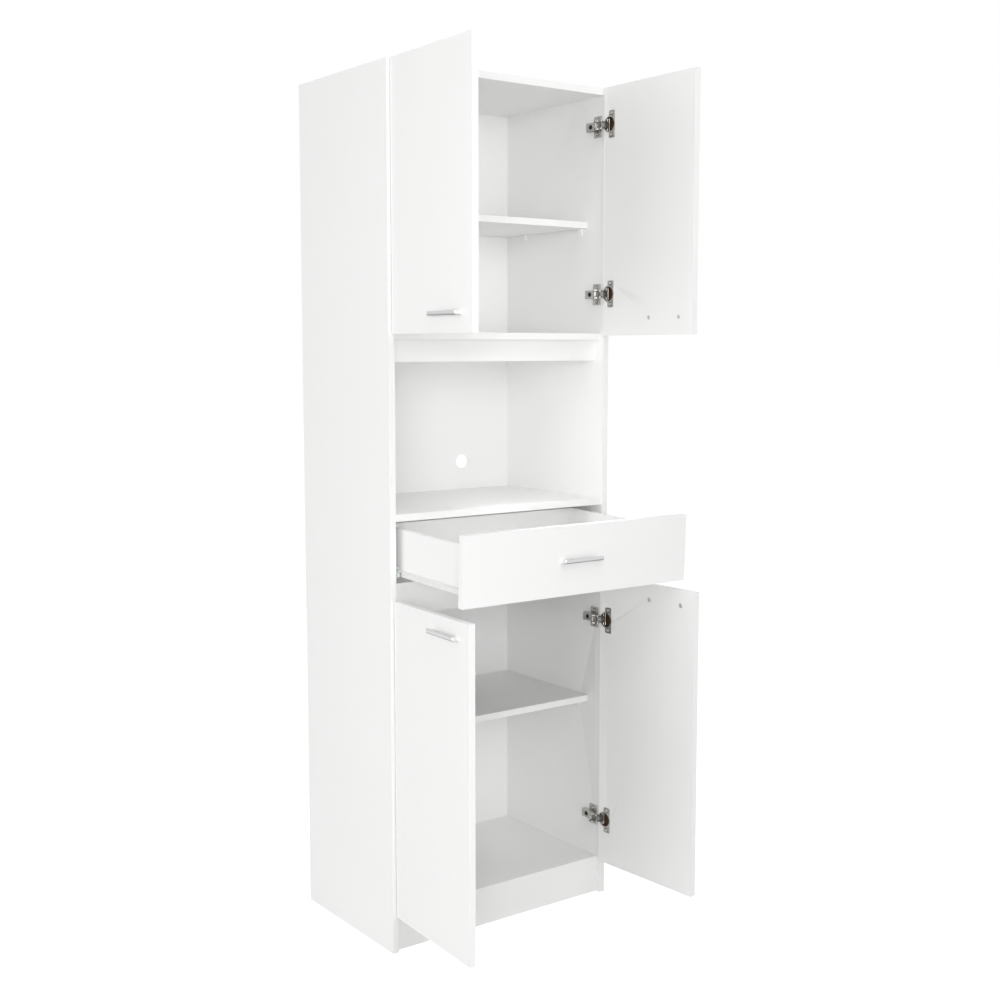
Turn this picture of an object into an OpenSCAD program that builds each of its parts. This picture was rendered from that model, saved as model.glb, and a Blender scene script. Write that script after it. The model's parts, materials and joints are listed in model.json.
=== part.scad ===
// A tall flat-pack kitchen cabinet with an open niche for a microwave oven, two bays with paired
// doors, and a drawer on roller runners. The doors and the drawer stand open.
// X runs across the front, Y to the back, Z up. The origin is at the middle of the plinth's underside.

/* [Carcass] */
// Width over the sides
cabinet_w = 600; // [500:1:800]
// Height of the sides
cabinet_h = 1900; // [1800:1:2100]
// Depth of the sides, front to back
side_depth = 375; // [365:1:450]
// Thickness of the boards
board_t = 15; // [15:0.5:19]
// Thickness of the back boards
back_t = 3; // [2.5:0.5:5]
// How far the back boards stop short of the outer faces
back_inset = 1.5; // [0.5:0.5:4]

/* [Levels] */
// Height of the plinth, up to the floor panel
plinth_h = 72.5; // [65:0.5:100]
// Clear height below the lower shelf
lower_shelf_rise = 375.5; // [300:0.5:400]
// Height of the rail below the drawer
drawer_rail_h = 70; // [60:1:72]
// Clear height of the niche
niche_h = 370; // [340:1:400]
// Height of the rail under the niche roof
niche_rail_h = 48; // [40:1:60]
// Clear height below the upper shelf
upper_shelf_rise = 244.5; // [200:0.5:300]

/* [Setbacks from the front edges of the sides] */
// Plinth, floor panel, drawer rail and niche roof
panel_setback = 12; // [8:1:20]
// Niche floor
niche_floor_setback = 5; // [2:1:12]
// Rail under the niche roof
niche_rail_setback = 34; // [28:1:60]
// Upper shelf
upper_shelf_setback = 60; // [50:1:80]
// Lower shelf
lower_shelf_setback = 48; // [44:1:80]
// Gap between a shelf and the back
shelf_back_gap = 1; // [0.5:0.5:5]
// Gap between a shelf and each side
shelf_end_gap = 0.5; // [0.3:0.1:1.5]

/* [Doors] */
// Gap at each end of a shut door, which is half the gap between a pair
door_reveal = 1.5; // [1:0.1:3]
// Underside of the lower doors above that of the floor panel
lower_door_rise = 10.5; // [4:0.5:13]
// Height of the lower doors
lower_door_h = 694; // [640:1:760]
// How far the lower doors cover the rail below the drawer
door_on_rail = 35; // [20:1:38]
// Underside of the upper doors above the niche roof
upper_door_rise = 10; // [6:0.5:13]
// Gap between the upper doors' top and the top of the cabinet
upper_door_drop = 0; // [0:0.5:4]
// Gap between a closed door and the carcass
door_gap = 2.5; // [2.5:0.1:3]
// How far the upper left door stands open
upper_left_angle = 91; // [0:1:105]
// How far the upper right door stands open
upper_right_angle = 90; // [0:1:105]
// How far the lower left door stands open
lower_left_angle = 93; // [0:1:105]
// How far the lower right door stands open
lower_right_angle = 94; // [0:1:105]

/* [Hinges] */
// Hinges' distance from the top of an upper door
upper_hinge_top = 83; // [70:1:120]
// Hinges' distance from the bottom of an upper door
upper_hinge_bottom = 95; // [70:1:120]
// Hinges' distance from the top of a lower door
lower_hinge_top = 103; // [70:1:140]
// Hinges' distance from the bottom of a lower door
lower_hinge_bottom = 107; // [70:1:140]
// Diameter of the hinge cup's bore
cup_d = 35; // [34.8:0.1:35.2]
// Depth of the hinge cup's bore
cup_bore_depth = 12; // [11.9:0.1:12.4]
// From the door's edge to the middle of the cup
cup_from_edge = 21.5; // [21.5:0.1:22]
// Distance between the screws of a cup, and of a mounting plate (half of it each way)
cup_screw_pitch = 48; // [46:1:52]
// Distance between the screws of a mounting plate
plate_screw_pitch = 32; // [32:1:34]
// Mounting plate screws behind the front edge
plate_setback = 23; // [22:0.5:24]
// Radius of the hinge pins
pin_r = 1.25; // [1.1:0.05:1.3]

/* [Handles] */
// Distance between a handle's screws
handle_pitch = 96; // [64:1:128]
// Width of a handle's feet
handle_foot_w = 10; // [8:0.5:12]
// Height of the bar
handle_bar_h = 9; // [7:0.5:12]
// Depth of the bar
handle_bar_t = 6; // [4.5:0.5:7]
// How far the handle stands out
handle_reach = 15; // [14:0.5:30]
// From a door's free edge to the nearer screw
handle_from_edge = 42; // [30:1:60]
// From an upper door's underside to its handle
upper_handle_rise = 39; // [25:1:60]
// From a lower door's top to its handle
lower_handle_drop = 35; // [25:1:60]

/* [Drawer] */
// Gap between each end of the drawer front and the cabinet's outer face
drawer_reveal = 2; // [1.5:0.5:10]
// Height of the drawer front
drawer_front_h = 147; // [130:1:180]
// Gap between the lower doors and the shut drawer front
drawer_gap_below = 33; // [30:0.5:34]
// From the top of the shut drawer front to the top of the niche floor
drawer_gap_above = 3; // [2:0.5:8]
// Space for a runner between drawer side and cabinet side
runner_space = 15; // [14.5:0.5:17]
// Thickness of the drawer's sides and back
drawer_side_t = 12; // [12:0.5:15]
// How far the drawer front reaches below the sides
drawer_front_below = 18; // [16:1:20]
// How far the drawer front reaches above the sides
drawer_front_above = 29; // [24:1:40]
// Gap between the drawer's back and the back boards
drawer_back_gap = 27.5; // [20:0.5:60]
// Height of the handle's middle above the drawer front's underside
drawer_handle_rise = 74; // [50:1:90]
// How far the drawer is pulled out, as a part of its travel
drawer_open = 1; // [0:0.05:1]
// How far the runners' play lets the drawer tip down at its stop
drawer_droop = 2.1; // [0:0.1:2.2]
// Radius of the runner rollers
roller_r = 8; // [7.5:0.1:8.2]

/* [Niche] */
// Diameter of the cable hole
cable_hole_d = 35; // [25:1:60]
// Cable hole from the right side's outer face
cable_hole_from_side = 156.3; // [50:0.1:450]
// Cable hole above the niche floor
cable_hole_rise = 69.5; // [40:0.5:200]

/* [Hidden] */
$fn = 48;
eps = 1;  // how far a cutting tool runs past a face

// The frame: y of the sides' front edges, inner faces of the sides, and the levels from the floor up
front_y = -(panel_setback + board_t / 2);
inner_x = cabinet_w / 2 - board_t;
lower_shelf_z = plinth_h + board_t + lower_shelf_rise;
lower_door_z = plinth_h + lower_door_rise;
lower_door_top = lower_door_z + lower_door_h;
drawer_rail_z = lower_door_top - door_on_rail;
drawer_front_z = lower_door_top + drawer_gap_below;
niche_floor_z = drawer_front_z + drawer_front_h + drawer_gap_above - board_t;
niche_roof_z = niche_floor_z + board_t + niche_h;
niche_rail_z = niche_roof_z - niche_rail_h;
upper_door_z = niche_roof_z + upper_door_rise;
upper_door_h = cabinet_h - upper_door_drop - upper_door_z;
upper_shelf_z = niche_roof_z + board_t + upper_shelf_rise;
top_z = cabinet_h - board_t;
back_seam = 0.5;       // each back board's edge from the seam's middle
upper_seam = niche_roof_z + board_t / 2;
lower_seam = niche_floor_z + board_t / 2;

// Fittings that join the boards
fit = 0.05;            // radial clearance of a pin or dowel in its bore
cam_r = 7.5;           // bore of a cam lock
cam_depth = 12.5;
cam_inset = 34;        // cam's middle from the board's end
bolt_r = 3;            // bolt's screw in the side, and its shank
bolt_bore_r = 4;       // bore for the bolt in the board's end
bolt_head_r = 3.6;
side_bore_depth = 10.5;
bolt_in_side = 10;
dowel_r = 4;
dowel_l = 30;
dowel_in_side = 10;
bore_end = 0.5;        // room past the end of a screw, pin or dowel in its bore
root = 0.5;            // how far a shank runs into the head that it is part of
cam_from_front = 60;   // front cams behind the front edges of the sides
cam_from_back = 60;
dowel_from_cam = 32;
rail_dowel_pitch = 32;

// Shelf pins
pin_shaft_r = 2.5;
pin_shaft_l = 8;
shelf_pin_drop = 7;    // shaft's axis below the shelf
shelf_pin_size = [8, 9, 16];
shelf_pin_toe = 1.5;   // what is left of the first of these at the pin's foot
shelf_pin_brow = 2.5;  // upright part of the pin's nose
shelf_pin_margin = [22, 77];  // front pins behind the shelf's front, back pins before the sides' back edges
shelf_pin_front = max(upper_shelf_setback, lower_shelf_setback) + shelf_pin_margin[0];
shelf_pin_back = side_depth - shelf_pin_margin[1];

// Hinge: a four-bar between arm pins on the carcass and cup pins in the door. Drawn at the right
// side, seen from above, in (s, t): s inward from the side's inner face, t forward of its front edge.
door_w = cabinet_w / 2 - 2 * door_reveal;
overlay = board_t - door_reveal;                 // a shut door's edge beyond the inner face
shut_edge = [-overlay, door_gap];                // the door's hinged back edge when shut
open_edge = [7, door_gap + 0.9];                 // the same edge at a right angle
outer_arm_pin = [22, -6.8];
inner_arm_pin = [17.3, 7.2];
outer_pin_reach = 8.6;                           // cup pins' distance from the turn's pole
inner_pin_reach = 4.1;
pin_turn_lead = 45;
edge_shift = open_edge - shut_edge;
pole = shut_edge + [edge_shift.x - edge_shift.y, edge_shift.x + edge_shift.y] / 2;
function bearing(p) = atan2(p.y, p.x);
function turned(p, angle) = [p.x * cos(angle) - p.y * sin(angle), p.x * sin(angle) + p.y * cos(angle)];
function cup_pin(arm_pin, reach) =
    pole + turned([reach, 0], bearing(arm_pin - pole) - pin_turn_lead);
outer_cup_pin = cup_pin(outer_arm_pin, outer_pin_reach);
inner_cup_pin = cup_pin(inner_arm_pin, inner_pin_reach);
function at_right_angle(p) = open_edge + turned(p - shut_edge, 90);
function link_ratio(arm_pin, pin) =
    (bearing(at_right_angle(pin) - arm_pin) - bearing(pin - arm_pin) + 360) % 360 / 90 - 4;
outer_ratio = link_ratio(outer_arm_pin, outer_cup_pin);  // link's turn for each degree of the door
inner_ratio = link_ratio(inner_arm_pin, inner_cup_pin);
function door_pin_at(angle) =
    outer_arm_pin + turned(outer_cup_pin - outer_arm_pin, outer_ratio * angle);
// where the inner cup pin lies in the inner link's own frame, the door being open by an angle
function pin_in_inner_link(angle) = inner_arm_pin + turned(
    door_pin_at(angle) + turned(inner_cup_pin - outer_cup_pin, angle) - inner_arm_pin, -inner_ratio * angle);
hinge_travel = 105;
pin_fit = 0.05;
cup_wall = 1.1;
cup_floor = 0.8;
cup_depth = cup_bore_depth - 0.2;
cup_gap = 0.1;           // cup in its bore
flange_t = 1;
cup_rim_r = cup_d / 2 + 1.3;
flange_size = [20, 61];  // strip that holds the cup's screws
flange_shift = 7.5;      // strip's middle, past the cup's middle
cup_screw_u = cup_from_edge + 7;   // cup's screws from the door's edge
arm_wall = 1.2;
arm_half = 9.6;          // half the arm's width
arm_top = 13.7;          // arm's outer face off the cabinet side
arm_back = plate_setback + 27.5;   // arm's end behind the front edge
arm_front = plate_setback - 8.5;   // where the arm's straight back ends
arm_lift = 3;            // arm's edge off the cabinet side
outer_eye_r = 4.8;
inner_eye_r = 3.2;
arm_neck = [17.2, -0.8];     // narrow part between the eyes, which clears the shut cup's rim
outer_link_z = [5.6, 7.6];   // outer link's two plates
inner_link_half = 4.6;
outer_link_bends = [[2.5, 7, 1.5], [7, 2.6, 1.6], [9.3, -1, 1.7]];
outer_link_ends = [2.5, 3.2];
inner_link_bends = [[4.5, 10.6, 1.5], [10.6, 11.1, 1.4]];
inner_link_ends = [2.3, 2.9];
plate_wing_t = 2.4;
plate_wing = [26, 48];
plate_body = [36, 14];
plate_front = plate_setback - plate_wing.x / 2;
arm_screw_back = plate_setback + 12;    // arm's fixing screw behind the front edge

// Screws
screw_r = 1.75;
screw_gap = 0.1;
screw_head_r = 3.9;
screw_head_h = 1.6;
screw_depth = 11;
handle_screw_r = 2;
handle_screw_head_r = 4.2;
handle_screw_depth = 8;  // how far it goes into the handle

// Drawer and runners. Heights are those of the shut, level drawer.
drawer_front_w = cabinet_w - 2 * drawer_reveal;
drawer_half_w = inner_x - runner_space;
drawer_z = drawer_front_z + drawer_front_below;
drawer_side_h = drawer_front_h - drawer_front_below - drawer_front_above;
drawer_back_y = side_depth - drawer_back_gap;    // behind the front edges
groove_rise = 10;
groove_depth = 6;
bottom_t = 3;
groove_gap = 0.15;
runner_t = 1.2;
ledge_rise = 12.3;       // underside of the drawer runner's ledge above the sides' lower edges
ledge_w = 9.8;
under_flange_w = 12;
roller_w = 7.5;
roller_play = 0.3;
roller_gap = 2.3;        // roller off the runner that carries it
roller_bore_r = 2.5;
axle_gap = 1.6;          // end of a drawer roller's axle off the cabinet's runner
roller_y = 10;           // cabinet's rollers behind the front edges
drawer_roller_y = drawer_back_y - 7.5;   // drawer's rollers, the drawer being shut
open_roller_y = 91.5;    // the same rollers at the runners' stop
drawer_travel = drawer_roller_y - open_roller_y;
drawer_out = drawer_open * drawer_travel;
roller_z = drawer_z + ledge_rise - roller_play - roller_r;
cabinet_runner_y = [2, drawer_back_y + 4.5];
track_start = 22;
track_w = 10.3;
lip_w = 7;
lip_play = 4.7;          // room for the drawer's ledge to rise as the drawer tips
stop_h = 5;
lip_z = drawer_z + ledge_rise + runner_t + lip_play;
track_z = roller_z - roller_r - 0.2;
runner_screws = [cabinet_runner_y[0] + 35, cabinet_runner_y[1] - 59];   // the first and the last
runner_screw_y = [runner_screws[0], (runner_screws[0] + runner_screws[1]) / 2, runner_screws[1]];
drawer_handle_z = drawer_front_z + drawer_handle_rise;
drawer_dowel_rises = [25, 75];
drawer_dowel_r = 3;
drawer_dowel_l = 26;
drawer_dowel_in_front = 10;
drawer_back_screws = [30, 75];
drawer_screw_l = 25;     // how far a back screw goes past the side
drawer_back_low = groove_rise + bottom_t + 2 * groove_gap;
// The handle screws, from a door's hinged edge
handle_us = [door_w - handle_from_edge - handle_pitch, door_w - handle_from_edge];
cable_hole_x = cabinet_w / 2 - cable_hole_from_side;

// Doors: [side, underside, height, angle, hinge heights, handle height]
upper_hinges = [upper_door_z + upper_door_h - upper_hinge_top, upper_door_z + upper_hinge_bottom];
lower_hinges = [lower_door_top - lower_hinge_top, lower_door_z + lower_hinge_bottom];
upper_handle_z = upper_door_z + upper_handle_rise;
lower_handle_z = lower_door_top - lower_handle_drop;
left = -1;
right = 1;
upper_left = [left, upper_door_z, upper_door_h, upper_left_angle, upper_hinges, upper_handle_z];
upper_right = [right, upper_door_z, upper_door_h, upper_right_angle, upper_hinges, upper_handle_z];
lower_left = [left, lower_door_z, lower_door_h, lower_left_angle, lower_hinges, lower_handle_z];
lower_right = [right, lower_door_z, lower_door_h, lower_right_angle, lower_hinges, lower_handle_z];
DOORS = [upper_left, upper_right, lower_left, lower_right];

laminate = "whitesmoke";
nickel = "lightgray";
dark_steel = "dimgray";
birch = "burlywood";

// Panels that lie between the sides: [underside, front, back, cams on top]
flat_panels = [
    [top_z, 0, side_depth, true],
    [niche_roof_z, panel_setback, side_depth, true],
    [niche_floor_z, niche_floor_setback, side_depth, false],
    [plinth_h, panel_setback, side_depth, false]
];
// Upright rails: [underside, height, front]
rails = [
    [niche_rail_z, niche_rail_h, niche_rail_setback],
    [drawer_rail_z, drawer_rail_h, panel_setback],
    [0, plinth_h, panel_setback]
];
cam_ys = [cam_from_front, side_depth - cam_from_back];
dowel_ys = [cam_from_front + dowel_from_cam, side_depth - cam_from_back - dowel_from_cam];
cam_places = concat(
    [for (p = flat_panels, y = cam_ys) [y, p[0] + board_t / 2]],
    [for (r = rails) [r[2] + board_t / 2, r[0] + r[1] / 2]]
);
dowel_places = concat(
    [for (p = flat_panels, y = dowel_ys) [y, p[0] + board_t / 2]],
    [for (r = rails, k = [-0.5, 0.5]) [r[2] + board_t / 2, r[0] + r[1] / 2 + k * rail_dowel_pitch]]
);
shelf_pin_places = [for (z = [upper_shelf_z, lower_shelf_z], y = [shelf_pin_front, shelf_pin_back])
    [y, z - shelf_pin_drop]];
hinge_heights = concat(upper_hinges, lower_hinges);

// y in the modules below is measured from the front edges of the sides
module from_front() {
    translate([0, front_y, 0]) children();
}

module box(low, high) {
    translate(low) cube(high - low);
}

// A cylinder from a point towards the middle of the cabinet (length > 0) or away from it
module peg(side, x, y, z, r, length) {
    translate([side * x, y, z]) rotate([0, -side * 90, 0]) cylinder(r = r, h = length);
}

// ---- Carcass ----

module side_panel(side) {
    difference() {
        box([side > 0 ? inner_x : -cabinet_w / 2, 0, 0],
            [side > 0 ? cabinet_w / 2 : -inner_x, side_depth, cabinet_h]);
        for (p = cam_places)
            peg(side, inner_x + side_bore_depth, p[0], p[1], bolt_r + fit, side_bore_depth + eps);
        for (p = dowel_places)
            peg(side, inner_x + side_bore_depth, p[0], p[1], dowel_r + fit, side_bore_depth + eps);
        for (p = shelf_pin_places)
            peg(side, inner_x + pin_shaft_l + bore_end, p[0], p[1], pin_shaft_r + fit, pin_shaft_l + eps);
        for (z = hinge_heights, k = [-0.5, 0.5])
            peg(side, inner_x + screw_depth, plate_setback, z + k * plate_screw_pitch, screw_r + screw_gap,
                screw_depth + eps);
        for (y = runner_screw_y)
            peg(side, inner_x + screw_depth, y, roller_z, screw_r + screw_gap, screw_depth + eps);
    }
}

module side_left() {
    color(laminate) from_front() side_panel(left);
}

module side_right() {
    color(laminate) from_front() side_panel(right);
}

// Bores in both ends of a board for one bolt, and the cam's bore, which opens up, down or to the back
module cam_bores(y, z, opening) {
    for (side = [left, right]) {
        peg(side, inner_x + eps, y, z, bolt_bore_r, cam_inset + eps);
        translate([side * (inner_x - cam_inset), y, z]) cam_turn(opening)
            translate([0, 0, board_t / 2 - cam_depth]) cylinder(r = cam_r, h = cam_depth + eps);
    }
}

// Turns +Z to the way the cam's bore opens
module cam_turn(opening) {
    rotate(opening == "up" ? [0, 0, 0] : opening == "down" ? [180, 0, 0] : [-90, 0, 0]) children();
}

module dowel_bores(y, z) {
    for (side = [left, right])
        peg(side, inner_x + eps, y, z, dowel_r + fit, dowel_l - dowel_in_side + 1 + eps);
}

module flat_panel(p) {
    z = p[0] + board_t / 2;
    difference() {
        box([-inner_x, p[1], p[0]], [inner_x, p[2], p[0] + board_t]);
        for (y = cam_ys) cam_bores(y, z, p[3] ? "up" : "down");
        for (y = dowel_ys) dowel_bores(y, z);
    }
}

module rail(r) {
    y = r[2] + board_t / 2;
    z = r[0] + r[1] / 2;
    difference() {
        box([-inner_x, r[2], r[0]], [inner_x, r[2] + board_t, r[0] + r[1]]);
        cam_bores(y, z, "back");
        for (k = [-0.5, 0.5]) dowel_bores(y, z + k * rail_dowel_pitch);
    }
}

module shelf(z, setback) {
    half = inner_x - shelf_end_gap;
    box([-half, setback, z], [half, side_depth - shelf_back_gap, z + board_t]);
}

module top_panel() {
    color(laminate) from_front() flat_panel(flat_panels[0]);
}

module fixed_panel() {
    color(laminate) from_front() flat_panel(flat_panels[1]);
}

module niche_floor() {
    color(laminate) from_front() flat_panel(flat_panels[2]);
}

module floor_panel() {
    color(laminate) from_front() flat_panel(flat_panels[3]);
}

module niche_rail() {
    color(laminate) from_front() rail(rails[0]);
}

module drawer_rail() {
    color(laminate) from_front() rail(rails[1]);
}

module plinth() {
    color(laminate) from_front() rail(rails[2]);
}

module upper_shelf() {
    color(laminate) from_front() shelf(upper_shelf_z, upper_shelf_setback);
}

module lower_shelf() {
    color(laminate) from_front() shelf(lower_shelf_z, lower_shelf_setback);
}

// A back board between two heights, nailed flat on the rear edges
module back_board(z0, z1) {
    half = cabinet_w / 2 - back_inset;
    box([-half, side_depth, z0], [half, side_depth + back_t, z1]);
}

module back_upper() {
    color(laminate) from_front() back_board(upper_seam + back_seam, cabinet_h - back_inset);
}

module back_niche() {
    color(laminate) from_front() difference() {
        back_board(lower_seam + back_seam, upper_seam - back_seam);
        translate([cable_hole_x, side_depth - eps, niche_floor_z + board_t + cable_hole_rise])
            rotate([-90, 0, 0]) cylinder(d = cable_hole_d, h = back_t + 2 * eps);
    }
}

module back_lower() {
    color(laminate) from_front() back_board(plinth_h + back_inset, lower_seam - back_seam);
}

// ---- Fittings ----

// A drum that grips the bolt's head through a slot towards the board's end
module cam_lock(side, y, z, opening) {
    centre = [side * (inner_x - cam_inset), y, z];
    difference() {
        translate(centre) cam_turn(opening) translate([0, 0, board_t / 2 - cam_depth]) difference() {
            cylinder(r = cam_r - 2 * fit, h = cam_depth);
            translate([0, 0, cam_depth - 2]) box([-4.5, -0.6, 0], [4.5, 0.6, 2 + eps]);
            translate([0, 0, cam_depth - 2]) box([-0.6, -4.5, 0], [0.6, 4.5, 2 + eps]);
        }
        peg(side, inner_x, y, z, bolt_head_r + 0.2, cam_inset + bolt_head_r + 0.4);
    }
}

module cam_locks() {
    color(dark_steel) from_front() for (side = [left, right]) {
        for (p = flat_panels, y = cam_ys) cam_lock(side, y, p[0] + board_t / 2, p[3] ? "up" : "down");
        for (r = rails) cam_lock(side, r[2] + board_t / 2, r[0] + r[1] / 2, "back");
    }
}

module cam_bolts() {
    neck = 3;
    color("silver") from_front() for (side = [left, right], p = cam_places) {
        peg(side, inner_x + bolt_in_side, p[0], p[1], bolt_r, bolt_in_side + cam_inset - bolt_head_r);
        peg(side, inner_x - cam_inset + bolt_head_r, p[0], p[1], bolt_head_r, bolt_head_r + neck);
    }
}

module dowels() {
    color(birch) from_front() for (side = [left, right], p = dowel_places)
        peg(side, inner_x + dowel_in_side, p[0], p[1], dowel_r, dowel_l);
}

// The pin's head under the shelf: a wedge, thin at its foot
module shelf_pin_block() {
    rotate([90, 0, 0]) linear_extrude(shelf_pin_size.y) polygon([[0, 0], [-shelf_pin_size.x, 0],
        [-shelf_pin_size.x, -shelf_pin_brow], [-shelf_pin_toe, -shelf_pin_size.z], [0, -shelf_pin_size.z]]);
}

module shelf_pins() {
    color("white") from_front() for (side = [left, right], p = shelf_pin_places) {
        peg(side, inner_x + pin_shaft_l, p[0], p[1], pin_shaft_r, pin_shaft_l + 1);
        mirror([side > 0 ? 0 : 1, 0, 0])
            translate([inner_x, p[0] + shelf_pin_size.y / 2, p[1] + shelf_pin_drop]) shelf_pin_block();
    }
}

// A round-headed screw: its head's face lies on x, its shank goes away from the middle
module side_screw(side, x, y, z, depth) {
    peg(side, x, y, z, screw_head_r, screw_head_h);
    peg(side, x + depth, y, z, screw_r, depth + root);
}

module carcass_screws() {
    color("silver") from_front() for (side = [left, right]) {
        for (z = hinge_heights, k = [-0.5, 0.5])
            side_screw(side, inner_x - plate_wing_t, plate_setback, z + k * plate_screw_pitch,
                plate_wing_t + screw_depth - 1);
        for (z = hinge_heights)
            side_screw(side, inner_x - arm_top, arm_screw_back, z, arm_wall + 5);
        for (y = runner_screw_y)
            side_screw(side, inner_x - runner_t, y, roller_z, runner_t + screw_depth - 1);
    }
}

// ---- Hinges, drawn in (s, t, z) at the right side and mirrored for the left ----

module at_hinge_side(side) {
    mirror([side > 0 ? 0 : 1, 0, 0]) translate([inner_x, 0, 0]) rotate([0, 0, 180]) children();
}

// The door's place when it is open by an angle
module swung(angle) {
    pin = door_pin_at(angle);
    translate([pin.x, pin.y, 0]) rotate([0, 0, angle])
        translate([-outer_cup_pin.x, -outer_cup_pin.y, 0]) children();
}

// A link's place when the door is open by an angle
module link_swung(arm_pin, turn) {
    translate([arm_pin.x, arm_pin.y, 0]) rotate([0, 0, turn])
        translate([-arm_pin.x, -arm_pin.y, 0]) children();
}

// A flat limb through points [x, y, radius], a little slimmer between them
module limb(points) {
    waist = 0.95;
    for (p = points) translate([p[0], p[1]]) circle(r = p[2]);
    for (i = [0 : len(points) - 2]) {
        a = points[i];
        b = points[i + 1];
        along = bearing([b[0] - a[0], b[1] - a[1]]);
        side_a = turned([0, waist * a[2]], along);
        side_b = turned([0, waist * b[2]], along);
        polygon([[a[0], a[1]] + side_a, [b[0], b[1]] + side_b, [b[0], b[1]] - side_b, [a[0], a[1]] - side_a]);
    }
}

// A plate of the hinge, from one height to another, mirrored in z as well
module plates(z0, z1) {
    for (k = [-1, 1]) translate([0, 0, k > 0 ? z0 : -z1]) linear_extrude(z1 - z0) children();
}

module upright_pin(p, r, z0, z1) {
    translate([p.x, p.y, z0]) cylinder(r = r, h = z1 - z0);
}

module hinge_plate() {
    difference() {
        union() {
            box([0, -plate_front - plate_wing.x, -plate_wing.y / 2],
                [plate_wing_t, -plate_front, plate_wing.y / 2]);
            box([0, -plate_front - plate_body.x, -plate_body.y / 2],
                [arm_top - arm_wall, -plate_front, plate_body.y / 2]);
        }
        for (k = [-0.5, 0.5]) translate([-eps, -plate_setback, k * plate_screw_pitch]) rotate([0, 90, 0])
            cylinder(r = screw_r + screw_gap, h = plate_wing_t + 2 * eps);
        translate([arm_top - 8, -arm_screw_back, 0]) rotate([0, 90, 0])
            cylinder(r = screw_r + screw_gap, h = 8 + eps);
    }
}

module hinge_plates() {
    color(nickel) from_front() for (side = [left, right]) at_hinge_side(side)
        for (z = hinge_heights) translate([0, 0, z]) hinge_plate();
}

// A channel with two cheeks, which carry the arm pins
module hinge_arm() {
    nose = [[inner_arm_pin.x, inner_arm_pin.y, inner_eye_r], [arm_neck.x, arm_neck.y, inner_eye_r],
        [outer_arm_pin.x, outer_arm_pin.y, outer_eye_r], [arm_top - 4, -arm_front, 4]];
    plates(arm_half - arm_wall, arm_half) {
        limb(nose);
        polygon([[arm_lift, -arm_back], [arm_top, -arm_back], [arm_top, -arm_front], [arm_lift, -arm_front]]);
    }
    difference() {
        box([arm_top - arm_wall, -arm_back, -arm_half], [arm_top, -arm_front, arm_half]);
        translate([arm_top - arm_wall - eps, -arm_screw_back, 0]) rotate([0, 90, 0])
            cylinder(r = screw_r + screw_gap, h = arm_wall + 2 * eps);
    }
    upright_pin(outer_arm_pin, pin_r, -arm_half, arm_half);
    upright_pin(inner_arm_pin, pin_r, -arm_half, arm_half);
}

module hinge_arms() {
    color(nickel) from_front() for (side = [left, right]) at_hinge_side(side)
        for (z = hinge_heights) translate([0, 0, z]) hinge_arm();
}

// The cup's flange: a round rim and the strip that takes the screws
module flange_outline() {
    end_r = 3;
    circle(r = cup_rim_r);
    translate([flange_shift - flange_size.x / 2, -flange_size.y / 2 + end_r])
        square([flange_size.x, flange_size.y - 2 * end_r]);
    translate([flange_shift - flange_size.x / 2 + end_r, -flange_size.y / 2])
        square([flange_size.x - 2 * end_r, flange_size.y]);
    for (i = [-1, 1], k = [-1, 1])
        translate([flange_shift + i * (flange_size.x / 2 - end_r), k * (flange_size.y / 2 - end_r)])
            circle(r = end_r);
}

// A place on the door's back: u from its hinged edge, z up, with +Z of the children into the door
module on_door_back(u, z) {
    translate([u - overlay, door_gap, z]) rotate([-90, 0, 0]) children();
}

module hinge_cup() {
    difference() {
        on_door_back(cup_from_edge, 0) union() {
            translate([0, 0, -flange_t]) linear_extrude(flange_t) flange_outline();
            cylinder(r = cup_d / 2 - cup_gap, h = cup_depth);
        }
        on_door_back(cup_from_edge, 0) translate([0, 0, -flange_t - eps])
            cylinder(r = cup_d / 2 - cup_gap - cup_wall, h = cup_depth - cup_floor + flange_t + eps);
        for (k = [-0.5, 0.5]) on_door_back(cup_screw_u, k * cup_screw_pitch)
            translate([0, 0, -flange_t - eps]) cylinder(r = screw_r + screw_gap, h = flange_t + 2 * eps);
    }
    pin_gap = outer_link_z[0] - 0.3;
    outer_reach = cup_half_chord(outer_cup_pin);
    for (k = [-1, 1])
        upright_pin(outer_cup_pin, pin_r, k > 0 ? pin_gap : -outer_reach, k > 0 ? outer_reach : -pin_gap);
    inner_reach = cup_half_chord(inner_cup_pin);
    upright_pin(inner_cup_pin, pin_r, -inner_reach, inner_reach);
}

// Half the cup's height at a pin, up to the middle of its wall
function cup_half_chord(p) = let(r = cup_d / 2 - cup_gap - cup_wall / 2, d = p.x + overlay - cup_from_edge)
    sqrt(r * r - d * d);

module door_cups(d) {
    color(nickel) from_front() at_hinge_side(d[0]) swung(d[3])
        for (z = d[4]) translate([0, 0, z]) hinge_cup();
}

module outer_link() {
    path = concat([[outer_cup_pin.x, outer_cup_pin.y, outer_link_ends[0]]], outer_link_bends,
        [[outer_arm_pin.x, outer_arm_pin.y, outer_link_ends[1]]]);
    web_t = 1;
    difference() {
        union() {
            plates(outer_link_z[0], outer_link_z[1]) limb(path);
            translate([0, 0, -outer_link_z[0] - web_t]) linear_extrude(2 * (outer_link_z[0] + web_t))
                outer_web(web_t);
        }
        upright_pin(outer_arm_pin, pin_r + pin_fit, -arm_half, arm_half);
        upright_pin(outer_cup_pin, pin_r + pin_fit, -arm_half, arm_half);
    }
}

// The web that joins the outer link's plates, along their rear edge
module outer_web(web_t) {
    a = outer_link_bends[2];
    b = outer_arm_pin;
    along = bearing([b.x - a[0], b.y - a[1]]);
    reach = norm([b.x - a[0], b.y - a[1]]);
    translate([a[0], a[1]]) rotate(along) translate([1.5, -a[2] - 0.6]) square([reach - 4.5, web_t]);
}

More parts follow.
